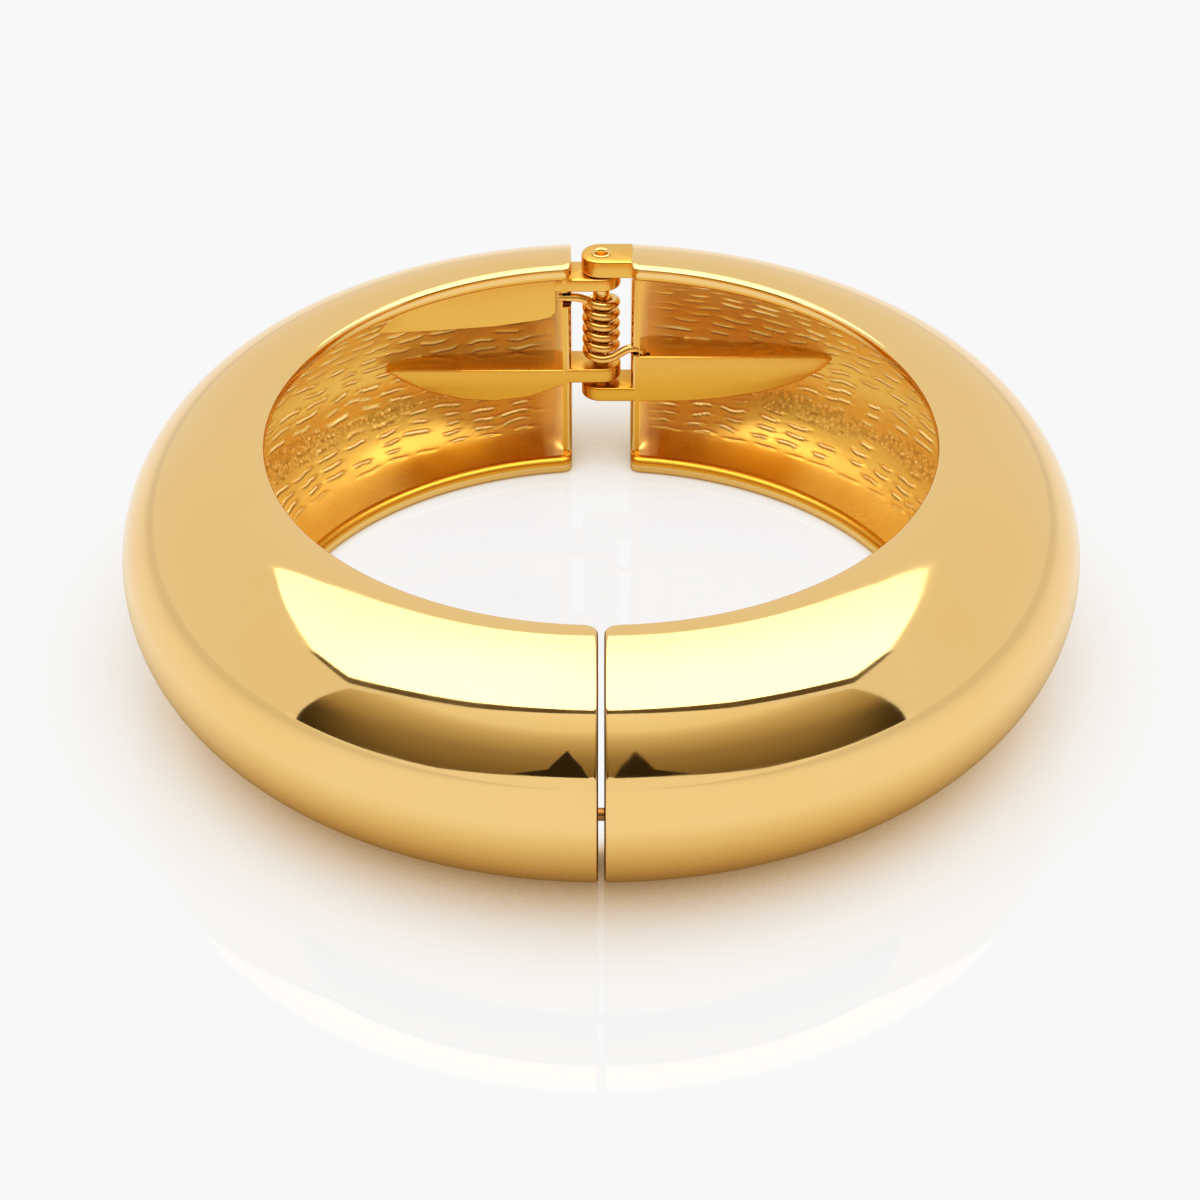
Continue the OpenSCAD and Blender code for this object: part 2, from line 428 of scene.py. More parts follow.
def web_root_r(z):
    """Distance from the ring's axis to which a web reaches inside the wall, at a height."""
    return WEB_ROOT_POS + math.sqrt(WEB_ROOT_R ** 2 - (z - MID_Z) ** 2)


def web_root_z(r):
    """Height to which a web reaches inside the wall, at a distance from the ring's axis."""
    return MID_Z + math.sqrt(max(0.0, WEB_ROOT_R ** 2 - (r - WEB_ROOT_POS) ** 2))


def web(name, edge, top, notches):
    """Web at +X: face in the web plane, back inside the wall, soft edges and notches for the spring."""
    low = []
    for (x0, z0), (x1, z1) in zip(edge, edge[1:]):
        n = max(1, round((x1 - x0) / 0.8))
        low += [(x0 + (x1 - x0) * i / n, z0 + (z1 - z0) * i / n) for i in range(n)]
    low.append(edge[-1])
    high = [(x, min(top, web_root_z(math.hypot(x, FACE_Y)) - 0.05)) for x, z in reversed(low)]
    outline = low + [(x, z) for x, z in high if all(math.hypot(x - a, z - b) > WEB_TIP_GAP for a, b in low)]
    thing = traced(name, [(x, FACE_Y, z) for x, z in outline])
    open_for_edit(thing)
    bpy.ops.mesh.select_all(action="SELECT")
    bpy.ops.mesh.edge_face_add()
    bpy.ops.mesh.extrude_region_move(TRANSFORM_OT_translate={"value": (0, 0.5, 0)})

    def to_wall(co):
        y = max(FACE_Y + 0.5, math.sqrt(web_root_r(co.z) ** 2 - co.x ** 2))
        fall = WEB_FALL * (y - FACE_Y) * min(1.0, (edge[-1][0] - co.x) / 9) if co.z > top - 0.05 else 0.0
        return Vector((co.x, y, co.z - fall))

    shift_picked(thing, to_wall)
    close_edit()
    outward(thing)
    rounded(thing, SOFT_EDGE_R)
    for low, high in notches:
        cut(thing, block("notch", low, high))
    return thing


def knuckle(name, heights, arm):
    """Knuckle plate: a disc round the rivet with soft edges and one side drawn out into an arm."""
    foot = (0, PIN_Y, heights[0])
    bpy.ops.mesh.primitive_circle_add(vertices=48, radius=KNUCKLE_R, fill_type="NGON", location=foot)
    thing = bpy.context.object
    thing.name = thing.data.name = name
    bpy.ops.object.transform_apply(location=True, rotation=True, scale=True)
    open_for_edit(thing)
    pick(thing, lambda co: co.x > -1e-4)

    def to_arm(co):
        return Vector((arm, PIN_Y + math.copysign(KNUCKLE_R, co.y - PIN_Y), co.z)) if co.x > 1e-3 else co

    shift_picked(thing, to_arm)
    bpy.ops.mesh.select_all(action="SELECT")
    bpy.ops.mesh.remove_doubles(threshold=0.001)
    bpy.ops.mesh.select_all(action="SELECT")
    bpy.ops.mesh.extrude_region_move(TRANSFORM_OT_translate={"value": (0, 0, heights[1] - heights[0])})
    close_edit()
    outward(thing)
    rounded(thing, SOFT_EDGE_R)
    cut(thing, rod("rivet_hole", PIN_R + PIN_ROOM, heights[0] - 1, heights[1] + 1, y=PIN_Y))
    return thing


def chance(*place):
    """Number from 0 to 1 that is always the same for the same place."""
    return (noise.cell(Vector(place)) + 1) / 2


def dash(around, across, seed):
    """Height, from 0 to 1, of the short raised dashes that run round the ring in wavy rows."""
    bend = 0.5 * noise.noise(Vector((around * 0.3, across * 0.22, seed)))
    bend += 0.16 * noise.noise(Vector((around * 1.0, across * 0.5, seed + 5)))
    rows = (across + bend) / ROW_W
    row = math.floor(rows)
    off = (rows - row - 0.5) * ROW_W
    along = around / DASH_W + 7.3 * chance(0.5, row + 0.5, seed)
    column = math.floor(along)
    if chance(column + 0.5, row + 0.5, seed + 9.5) < DASH_MISSING:
        return 0.0
    length = 0.48 + 0.44 * chance(column + 0.5, row + 0.5, seed + 2.5)
    part = along - column
    ends = max(0.0, min(1.0, part / 0.1, (length - part) / 0.1))
    size = 0.55 + 0.45 * chance(column + 0.5, row + 0.5, seed + 4.5)
    return ends * max(0.0, 1 - (off / DASH_HALF) ** 2) * size


def ridged(shell, seed):
    """Raises the as-cast dashes on the hollow's wall and notes on each corner where they are, where their
    painted shade goes and where the painted highlight at the hinge end goes.
    """
    mesh = shell.data
    normals = [v.normal.copy() for v in mesh.vertices]
    notes = {name: [0.0] * len(mesh.vertices) for name in ("crest", "under", "beads", "painted_glint")}
    for v, normal in zip(mesh.vertices, normals):
        co = v.co
        wall_x = GAP_WALL_X if co.y > 0 else SLIT_WALL_X
        # Painted highlight and glow in the fillet beside the hinge end wall.
        notes["painted_glint"][v.index] = fade(abs(co.x), wall_x + 1.6, wall_x + 0.3) if co.y > 0 else 0.0
        if not in_hollow(co):
            continue
        r = math.hypot(co.x, co.y)
        around = math.atan2(co.x, -co.y) * MID_R
        across = math.atan2(co.z - MID_Z, r - HOLLOW_POS) * HOLLOW_R
        low_start = 33.2 if co.z < MID_Z else 31.6
        shown = fade(r, low_start, low_start + 1.3) * fade(abs(co.x), wall_x + 0.1, wall_x + 1.0)
        ragged = 1.6 * noise.noise(Vector((around * 0.15, across * 0.3, seed + 1)))
        band = fade(1.9 - abs(across - BEAD_ACROSS) + ragged, 0.3, 1.2)
        patch = band * fade(abs(abs(around) - BEAD_ROUND), 17, 11)
        swell = noise.noise(Vector((around * 0.12, across * 0.16, seed + 21)))
        height = (1 - 0.75 * patch) * dash(around, across, seed)
        notes["crest"][v.index] = shown * height
        # Painted shade just under each dash.
        above = dash(around, across + 1.3 * DASH_HALF, seed)
        notes["under"][v.index] = shown * (1 - 0.75 * patch) * max(0.0, above - height)
        notes["beads"][v.index] = shown * patch
        v.co = co + normal * (shown * (DASH_RISE * height + 0.02 * swell))
    for label, values in notes.items():
        mesh.attributes.new(label, "FLOAT", "POINT").data.foreach_set("value", values)


# Finishes

VECTOR, FLOAT, COLOUR = "NodeSocketVector", "NodeSocketFloat", "NodeSocketColor"


def new_group(name, inputs, outputs):
    """Shader node group with named sockets: inputs are (label, kind, value), outputs are (label, kind)."""
    group = bpy.data.node_groups.new(name, "ShaderNodeTree")
    for label, kind, value in inputs:
        socket = group.interface.new_socket(label, in_out="INPUT", socket_type=kind)
        if value is not None:
            socket.default_value = value
    for label, kind in outputs:
        group.interface.new_socket(label, in_out="OUTPUT", socket_type=kind)
    return group


def feed(tree, socket, value):
    """Links a socket's value, or sets it when it is a plain number or colour."""
    if hasattr(value, "is_linked"):
        tree.links.new(value, socket)
    else:
        socket.default_value = value


def number_node(tree, operation, *values):
    node = tree.nodes.new("ShaderNodeMath")
    node.operation = operation
    for socket, value in zip(node.inputs, values):
        feed(tree, socket, value)
    return node.outputs[0]


def noise_node(tree, place, scale, detail=2.0, distortion=0.0):
    node = tree.nodes.new("ShaderNodeTexNoise")
    tree.links.new(place, node.inputs["Vector"])
    feed(tree, node.inputs["Scale"], scale)
    node.inputs["Detail"].default_value = detail
    node.inputs["Distortion"].default_value = distortion
    return node.outputs["Fac"]


def range_node(tree, value, low, high, to_low, to_high):
    """Soft step of a value from one range to another."""
    node = tree.nodes.new("ShaderNodeMapRange")
    node.interpolation_type = "SMOOTHSTEP"
    labels = ("Value", "From Min", "From Max", "To Min", "To Max")
    for label, number in zip(labels, (value, low, high, to_low, to_high)):
        feed(tree, node.inputs[label], number)
    return node.outputs["Result"]


def mixed(tree, factor, one, other):
    """Colour between one, at a factor of 0, and the other, at 1."""
    node = tree.nodes.new("ShaderNodeMix")
    node.data_type = "RGBA"
    feed(tree, node.inputs["Factor"], factor)
    feed(tree, node.inputs[6], one)
    feed(tree, node.inputs[7], other)
    return node.outputs[2]


def ends_of(group):
    """Sockets that a group is given and sockets for its results."""
    return group.nodes.new("NodeGroupInput").outputs, group.nodes.new("NodeGroupOutput").inputs


def make_ring_place():
    """Place on the band: millimetres round the ring, round the hollow, from the ring's axis and up."""
    group = new_group("ring_place", [("Place", VECTOR, None)],
                      [("Round", VECTOR), ("From axis", FLOAT), ("Height", FLOAT)])
    given, result = ends_of(group)
    split = group.nodes.new("ShaderNodeSeparateXYZ")
    group.links.new(given[0], split.inputs[0])
    x, y, z = (number_node(group, "MULTIPLY", split.outputs[i], 1000.0) for i in range(3))
    square = number_node(group, "MULTIPLY_ADD", x, x, number_node(group, "MULTIPLY", y, y))
    r = number_node(group, "SQRT", square)
    turn = number_node(group, "ARCTAN2", x, number_node(group, "MULTIPLY", y, -1.0))
    around = number_node(group, "MULTIPLY", turn, MID_R)
    rise = number_node(group, "SUBTRACT", z, MID_Z)
    tilt = number_node(group, "ARCTAN2", rise, number_node(group, "SUBTRACT", r, HOLLOW_POS))
    across = number_node(group, "MULTIPLY", tilt, HOLLOW_R)
    both = group.nodes.new("ShaderNodeCombineXYZ")
    group.links.new(around, both.inputs[0])
    group.links.new(across, both.inputs[1])
    group.links.new(both.outputs[0], result[0])
    group.links.new(r, result[1])
    group.links.new(z, result[2])
    return group


def make_polish_cloud():
    """Faint uneven polish: a roughness that drifts between two values over the surface."""
    inputs = [("Place", VECTOR, None), ("Least", FLOAT, 0.04), ("Most", FLOAT, 0.1)]
    group = new_group("polish_cloud", inputs, [("Roughness", FLOAT)])
    given, result = ends_of(group)
    cloud = noise_node(group, given[0], 120.0, 4.0, 0.3)
    group.links.new(range_node(group, cloud, 0.35, 0.7, given[1], given[2]), result[0])
    return group


def make_plate_tone():
    """Plating that runs a little redder and paler from place to place."""
    inputs = [("Place", VECTOR, None), ("Gold", COLOUR, None), ("Redder", COLOUR, None)]
    group = new_group("plate_tone", inputs, [("Colour", COLOUR)])
    given, result = ends_of(group)
    drift = noise_node(group, given[0], 55.0, 3.0)
    redness = range_node(group, drift, 0.4, 0.75, 0.0, 1.0)
    group.links.new(mixed(group, redness, given[1], given[2]), result[0])
    return group


def make_soft_dents():
    """Normal of a skin polished by hand, with very shallow waves and a fine grain."""
    inputs = [("Place", VECTOR, None), ("Wave", FLOAT, 0.1), ("Wave scale", FLOAT, 90.0),
              ("Grain", FLOAT, 0.1), ("Grain scale", FLOAT, 900.0)]
    group = new_group("soft_dents", inputs, [("Normal", VECTOR)])
    given, result = ends_of(group)
    wave = group.nodes.new("ShaderNodeBump")
    wave.inputs["Distance"].default_value = 0.0001
    group.links.new(given[1], wave.inputs["Strength"])
    group.links.new(noise_node(group, given[0], given[2], 2.0), wave.inputs["Height"])
    grain = group.nodes.new("ShaderNodeBump")
    grain.inputs["Distance"].default_value = 0.00003
    group.links.new(given[3], grain.inputs["Strength"])
    group.links.new(noise_node(group, given[0], given[4], 2.0), grain.inputs["Height"])
    group.links.new(wave.outputs[0], grain.inputs["Normal"])
    group.links.new(grain.outputs[0], result[0])
    return group


def make_dash_lines():
    """Raised dashes and beads of the cast wall, with painted light: a painted highlight on a crest and on a
    bead, painted shade just under a dash and between the beads.
    """
    inputs = [("Round", VECTOR, None), ("Gold", COLOUR, None), ("Crest", FLOAT, 0.0), ("Under", FLOAT, 0.0),
              ("Beads", FLOAT, 0.0)]
    group = new_group("dash_lines", inputs, [("Colour", COLOUR), ("Height", FLOAT), ("Shine", FLOAT)])
    given, result = ends_of(group)
    cells = group.nodes.new("ShaderNodeTexVoronoi")
    group.links.new(given["Round"], cells.inputs["Vector"])
    cells.inputs["Scale"].default_value = 2.6
    off = cells.outputs["Distance"]
    # Painted highlight on each bead and painted shade between the beads.
    bead = number_node(group, "MULTIPLY", range_node(group, off, 0.08, 0.5, 1.0, 0.0), given["Beads"])
    between = number_node(group, "MULTIPLY", range_node(group, off, 0.4, 0.65, 0.0, 1.0), given["Beads"])
    high = number_node(group, "ADD", given["Crest"], number_node(group, "MULTIPLY", bead, 0.55))
    low = number_node(group, "ADD", given["Under"], number_node(group, "MULTIPLY", between, 0.38))
    # Paler as a painted highlight, then darker as painted shade.
    pale = mixed(group, range_node(group, high, 0.15, 0.8, 0.0, 0.85), given["Gold"], (1.0, 0.86, 0.5, 1))
    dark = mixed(group, range_node(group, low, 0.1, 0.75, 0.0, 0.75), pale, (0.3, 0.12, 0.015, 1))
    group.links.new(dark, result[0])
    group.links.new(number_node(group, "SUBTRACT", high, number_node(group, "MULTIPLY", low, 0.3)), result[1])
    # How strongly each crest glows, as a painted highlight.
    group.links.new(range_node(group, high, 0.3, 0.9, 0.0, 1.0), result[2])
    return group


RING_PLACE = make_ring_place()
POLISH_CLOUD = make_polish_cloud()
PLATE_TONE = make_plate_tone()
SOFT_DENTS = make_soft_dents()
DASH_LINES = make_dash_lines()


def use(tree, group, *values):
    """Places a node group in a material and feeds it."""
    node = tree.nodes.new("ShaderNodeGroup")
    node.node_tree = group
    for socket, value in zip(node.inputs, values):
        feed(tree, socket, value)
    return node.outputs


def metal(name, gold, redder, least, most, wave, wave_scale, grain):
    """Gold plate between two tones and two roughnesses, with shallow waves and a fine grain."""
    mat = bpy.data.materials.new(name)
    mat.use_nodes = True
    tree = mat.node_tree
    shader = tree.nodes["Principled BSDF"]
    shader.inputs["Metallic"].default_value = 1.0
    place = tree.nodes.new("ShaderNodeTexCoord").outputs["Object"]
    tree.links.new(use(tree, PLATE_TONE, place, (*gold, 1), (*redder, 1))[0], shader.inputs["Base Color"])
    tree.links.new(use(tree, POLISH_CLOUD, place, least, most)[0], shader.inputs["Roughness"])
    tree.links.new(use(tree, SOFT_DENTS, place, wave, wave_scale, grain, 900.0)[0], shader.inputs["Normal"])
    return mat


def noted(tree, name):
    """Value that the shaping noted on each corner of the mesh."""
    node = tree.nodes.new("ShaderNodeAttribute")
    node.attribute_name = name
    return node.outputs["Fac"]


def cast_metal(name, gold, redder, least, most):
    """Bright as-cast wall with its raised dashes, and painted light: a deeper amber low down and a dark band
    near the hinge as painted shade, a painted highlight in the fillet at the hinge end, and painted glow on
    the crests, in that fillet and faintly all over.
    """
    mat = metal(name, gold, redder, least, most, 0.5, 160.0, 0.3)
    tree = mat.node_tree
    shader = tree.nodes["Principled BSDF"]
    place = next(n for n in tree.nodes if n.type == "TEX_COORD").outputs["Object"]
    round_at, from_axis, height = use(tree, RING_PLACE, place)
    plain = shader.inputs["Base Color"].links[0].from_socket
    # Painted shade and reflection: a deeper amber low down, as gold seen in gold.
    tone = mixed(tree, range_node(tree, height, 5.0, 12.0, 1.0, 0.0), plain, (0.93, 0.54, 0.07, 1))
    # Painted shade: a dark amber band low down beside the lip near the hinge, where the smooth wall reflects
    # dark.
    low = range_node(tree, height, 4.6, 6.4, 1.0, 0.0)
    strip = number_node(tree, "MULTIPLY", low, range_node(tree, from_axis, 33.0, 34.6, 1.0, 0.0))
    round_x = tree.nodes.new("ShaderNodeSeparateXYZ")
    tree.links.new(round_at, round_x.inputs[0])
    near_hinge = range_node(tree, number_node(tree, "ABSOLUTE", round_x.outputs[0]), 87.0, 93.0, 0.0, 1.0)
    painted_dark_band = number_node(tree, "MULTIPLY", strip, near_hinge)
    amber = mixed(tree, painted_dark_band, tone, (0.72, 0.32, 0.015, 1))
    # Painted highlight: paler gold in the fillet beside the hinge end wall.
    painted_glint = noted(tree, "painted_glint")
    light = mixed(tree, number_node(tree, "MULTIPLY", painted_glint, 0.5), amber, (1.0, 0.78, 0.3, 1))
    notes = [noted(tree, label) for label in ("crest", "under", "beads")]
    colour, relief, crest_glow_mask = use(tree, DASH_LINES, round_at, light, *notes)
    tree.links.new(colour, shader.inputs["Base Color"])
    bump = tree.nodes.new("ShaderNodeBump")
    bump.inputs["Distance"].default_value = 0.00003
    tree.links.new(relief, bump.inputs["Height"])
    tree.links.new(shader.inputs["Normal"].links[0].from_socket, bump.inputs["Normal"])
    tree.links.new(bump.outputs[0], shader.inputs["Normal"])
    plated = range_node(tree, painted_glint, 0.0, 1.0, 0.6, 0.75)
    tree.links.new(number_node(tree, "MULTIPLY_ADD", painted_dark_band, 0.25, plated), shader.inputs["Metallic"])
    # Painted glow: the crests glow, most low down, the fillet at the hinge end glows, and the wall glows
    # faintly except in the dark band.
    painted_crest_glow = number_node(tree, "MULTIPLY", crest_glow_mask, range_node(tree, height, 8.0, 16.0, 0.42, 0.08))
    shader.inputs["Emission Color"].default_value = (1.0, 0.72, 0.22, 1)
    faint = number_node(tree, "MULTIPLY_ADD", painted_dark_band, -0.04, 0.04)
    shine = number_node(tree, "ADD", number_node(tree, "MULTIPLY_ADD", painted_glint, 0.3, painted_crest_glow), faint)
    tree.links.new(shine, shader.inputs["Emission Strength"])
    return mat


def web_metal(name, gold, low_shade_gold, least, most):
    """Satin gold of the webs, with painted shade: a deeper tone low down."""
    mat = metal(name, gold, gold, least, most, 0.05, 60.0, 0.05)
    tree = mat.node_tree
    shader = tree.nodes["Principled BSDF"]
    place = next(n for n in tree.nodes if n.type == "TEX_COORD").outputs["Object"]
    height = use(tree, RING_PLACE, place)[2]
    plain = shader.inputs["Base Color"].links[0].from_socket
    # Painted shade: deeper and darker low down.
    shade_low_down = range_node(tree, height, 8.5, 13.0, 1.0, 0.0)
    tree.links.new(mixed(tree, shade_low_down, plain, (*low_shade_gold, 1)), shader.inputs["Base Color"])
    return mat


GOLD = (0.93, 0.63, 0.245)
polished_gold = metal("polished_gold", GOLD, (0.925, 0.605, 0.22), 0.035, 0.075, 0.05, 70.0, 0.03)
cast_gold = cast_metal("cast_gold", (0.99, 0.67, 0.13), (0.97, 0.61, 0.09), 0.24, 0.36)
web_gold = web_metal("web_gold", (0.86, 0.49, 0.09), (0.77, 0.39, 0.04), 0.22, 0.3)
# Painted shade: a dark brown gold for the edges right beside the slit.
slit_shade_gold = metal("slit_shade_gold", (0.4, 0.19, 0.05), (0.3, 0.12, 0.03), 0.25, 0.4, 0.1, 200.0, 0.2)
pin_gold = metal("pin_gold", (0.92, 0.62, 0.21), (0.88, 0.54, 0.15), 0.08, 0.16, 0.1, 400.0, 0.1)
spring_gold = metal("spring_gold", (0.9, 0.6, 0.2), (0.84, 0.5, 0.13), 0.1, 0.2, 0.15, 500.0, 0.3)


def wear(thing, *mats):
    """Gives a piece its materials, in the order of their numbers."""
    thing.data.materials.clear()
    for mat in mats:
        thing.data.materials.append(mat)


def to_metres(thing):
    thing.data.transform(Matrix.Scale(MM, 4))
    thing.data.update()


# The two halves

def peg_rod(name, radius, from_x, to_x):
    """Round bar across the slit at the peg's place."""
    thing = rod(name, radius, from_x, to_x, sides=32)
    only(thing)
    thing.rotation_euler = (0, math.radians(90), 0)
    thing.location = (0, -PEG_POS, PEG_Z)
    bpy.ops.object.transform_apply(location=True, rotation=True, scale=True)
    return thing


# Numbers of the materials on a half
HALF_GOLDS = (polished_gold, cast_gold, web_gold, slit_shade_gold)
POLISHED, CAST, WEB, SLIT = range(4)


def finish_of(center):
    """Number of the material of a face of the shell, from the middle of the face."""
    r = math.hypot(center.x, center.y)
    in_wall = math.hypot(r - HOLLOW_POS, center.z - MID_Z) < HOLLOW_R + 0.4
    # Painted shade on the edges right beside the slit.
    if SLIT_X + 0.002 < abs(center.x) < SLIT_X + SEAM_W and center.y < 0:
        return SLIT
    if r > INNER_R + LIP_EDGE and in_wall and abs(center.x) > GAP_WALL_X + 0.02:
        return CAST
    if r < INNER_R + 1.3 and 0.7 < center.z < 22.3:
        return WEB
    return POLISHED


def make_half(name, frame_parts, on_left, seed, notches):
    """Half of the bangle: its shell notched and dressed, joined with its webs and knuckles."""
    shell = half_shell(name)
    inner = join(name + "_webs", *frame_parts)
    for low, high in notches:
        cut(shell, block("notch", low, high))
    if on_left:
        peg = peg_rod("peg", PEG_R, *PEG_SPAN)
        rounded(peg, PEG_EDGE_R)
        cut(shell, peg, "UNION")
        mirror_across(shell)
        mirror_across(inner)
    else:
        cut(shell, peg_rod("peg_hole", PEG_HOLE_R, *PEG_HOLE_SPAN))
    ridged(shell, seed)
    wear(shell, *HALF_GOLDS)
    for face in shell.data.polygons:
        face.material_index = finish_of(face.center)
    wear(inner, *HALF_GOLDS)
    for face in inner.data.polygons:
        face.material_index = WEB
    half = join(name, shell, inner)
    half.data.shade_smooth()
    only(half)
    bpy.ops.object.shade_smooth_by_angle(angle=math.radians(35))
    to_metres(half)
    return half


left_parts = [web("left_panel", LEFT_PANEL, LEFT_PANEL_TOP, [LEFT_REST]),
              web("left_blade", LEFT_BLADE, LEFT_BLADE_TOP, []),
              knuckle("left_top_knuckle", LEFT_HIGH, LEFT_HIGH_ARM),
              knuckle("left_low_knuckle", LEFT_LOW, LEFT_LOW_ARM)]
left_half = make_half("left_half_shell", left_parts, True, 3.0, [LEFT_POCKET])

right_parts = [web("right_blade", RIGHT_BLADE, RIGHT_BLADE_TOP, [RIGHT_REST]),
               knuckle("right_top_knuckle", RIGHT_HIGH, RIGHT_HIGH_ARM),
               knuckle("right_low_knuckle", RIGHT_LOW, RIGHT_LOW_ARM)]
right_half = make_half("right_half_shell", right_parts, False, 9.0, [RIGHT_POCKET, RIGHT_REST])


# Rivet and spring

def make_rivet():
    """Tubular rivet: half an outline for each flared end, spun round its axis."""
    low = RIGHT_LOW[0] - 0.1
    high = 23.0
    flare = 0.1
    bore_edge = [(0.0, 0.4), (0.07, 0.18), (0.19, 0.03), (0.25, 0.0)]
    flare_edge = [(-0.08, 0.0), (0.0, 0.04), (-0.02, flare - 0.02)]
    end = [(PIN_BORE_R + step, depth) for step, depth in bore_edge]
    end += [(PIN_FLARE_R + step, depth) for step, depth in flare_edge] + [(PIN_R, flare)]
    outline = [(r, high - depth) for r, depth in end] + [(r, low + depth) for r, depth in reversed(end)]
    thing = traced("rivet", [(r, PIN_Y, z) for r, z in outline])
    open_for_edit(thing)
    bpy.ops.mesh.select_all(action="SELECT")
    bpy.ops.mesh.spin(steps=48, angle=math.tau, center=(0, PIN_Y, 0), axis=(0, 0, 1))
    close_edit()
    outward(thing)
    only(thing)
    bpy.ops.object.shade_smooth_by_angle(angle=math.radians(40))
    wear(thing, pin_gold)
    to_metres(thing)
    return thing


def spring_path():
    """Points along the wire: the upper arm, the turns from top to bottom, and the lower arm."""
    turns = []
    for i in range(-4, COIL_TURNS * 24 + 1):
        a = math.tau * i / 24 - math.pi / 2
        turns.append((COIL_R * math.cos(a), PIN_Y + COIL_R * math.sin(a), COIL_TOP_Z - COIL_PITCH * i / 24))
    bottom = COIL_TOP_Z - COIL_TURNS * COIL_PITCH
    upper = [(-4.05, 32.0, 18.6), (-3.5, 32.0, 18.6), (-2.9, 32.0, 18.6), (-2.3, 32.02, 18.56),
             (-1.8, 32.14, 18.35)]
    lower = [(0.8, 31.55, bottom + 0.05), (1.6, 31.65, bottom + 0.42), (2.4, 31.95, 12.88),
             (3.1, 32.0, 12.95), (3.55, 32.0, 12.9), (3.85, 32.0, 12.68), (4.0, 32.0, 12.3),
             (4.05, 32.0, 11.75)]
    return upper + turns + lower


def make_spring():
    """Round wire along the spring's path."""
    path = spring_path()
    curve = bpy.data.curves.new("coil_spring", "CURVE")
    curve.dimensions = "3D"
    curve.bevel_depth = WIRE_R
    curve.bevel_resolution = 6
    curve.use_fill_caps = True
    curve.resolution_u = 3
    line = curve.splines.new("NURBS")
    line.points.add(len(path) - 1)
    for point, place in zip(line.points, path):
        point.co = (*place, 1)
    line.order_u = 4
    line.use_endpoint_u = True
    thing = bpy.data.objects.new("coil_spring", curve)
    bpy.context.collection.objects.link(thing)
    only(thing)
    bpy.ops.object.convert(target="MESH")
    thing = bpy.context.object
    outward(thing)
    only(thing)
    bpy.ops.object.shade_smooth_by_angle(angle=math.radians(40))
    wear(thing, spring_gold)
    to_metres(thing)
    return thing


rivet = make_rivet()
spring = make_spring()

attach(left_half, "left")
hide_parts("left_half")
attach(right_half, "right")
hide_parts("right_half")
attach(rivet, "right")
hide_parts("hinge_pin")
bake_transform(spring)
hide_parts("hinge_spring")


# Studio

def glow(name, strength, colour=(1, 1, 1)):
    """Plain emission of one colour."""
    mat = bpy.data.materials.new(name)
    mat.use_nodes = True
    tree = mat.node_tree
    tree.nodes.clear()
    out = tree.nodes.new("ShaderNodeOutputMaterial")
    light = tree.nodes.new("ShaderNodeEmission")
    light.inputs["Color"].default_value = (*colour, 1)
    light.inputs["Strength"].default_value = strength
    tree.links.new(light.outputs[0], out.inputs["Surface"])
    return mat


def sheet(name, corners, mat):
    """Flat studio panel through its corners, in metres, hidden from the camera itself."""
    thing = traced(name, corners)
    open_for_edit(thing)
    bpy.ops.mesh.select_all(action="SELECT")
    bpy.ops.mesh.edge_face_add()
    close_edit()
    thing.data.materials.append(mat)
    thing.visible_camera = False


def both_sides(points):
    """Outline made whole from its right side."""
    return points + [(-x, y, z) for x, y, z in reversed(points) if x != 0]


def shaded_glow(name, fill):
    """Glow whose colour the fill function builds from the panel's own x, y and z."""
    mat = glow(name, 1.0)
    tree = mat.node_tree
    light = next(n for n in tree.nodes if n.type == "EMISSION")
    split = tree.nodes.new("ShaderNodeSeparateXYZ")
    tree.links.new(tree.nodes.new("ShaderNodeTexCoord").outputs["Object"], split.inputs[0])
    colour, strength = fill(tree, *split.outputs)
    feed(tree, light.inputs["Color"], colour)
    feed(tree, light.inputs["Strength"], strength)
    return mat


def colour_ramp(tree, value, stops):
    """Colours at places from 0 to 1. The first two stops are the ramp's own ends."""
    ramp = tree.nodes.new("ShaderNodeValToRGB")
    for number, (place, colour) in enumerate(stops):
        stop = ramp.color_ramp.elements[number] if number < 2 else ramp.color_ramp.elements.new(place)
        stop.position = place
        stop.color = (*colour, 1)
    tree.links.new(value, ramp.inputs["Fac"])
    return ramp.outputs["Color"]


def softbox_fill(tree, x, y, z):
    """Brightest at its front edge, and kept out of the floor's own mirror image."""
    ray = tree.nodes.new("ShaderNodeLightPath")
    look = tree.nodes.new("ShaderNodeNewGeometry")
    split = tree.nodes.new("ShaderNodeSeparateXYZ")
    tree.links.new(look.outputs["Incoming"], split.inputs[0])
    drop = number_node(tree, "MULTIPLY", split.outputs[2], ray.outputs["Ray Length"])
    above = number_node(tree, "GREATER_THAN", number_node(tree, "ADD", z, drop), 0.00005)
    full = range_node(tree, y, -0.2, 1.1, 3.1, 2.2)
    extra = number_node(tree, "SUBTRACT", full, 0.85)
    return (1, 1, 1, 1), number_node(tree, "MULTIPLY_ADD", extra, above, 0.85)


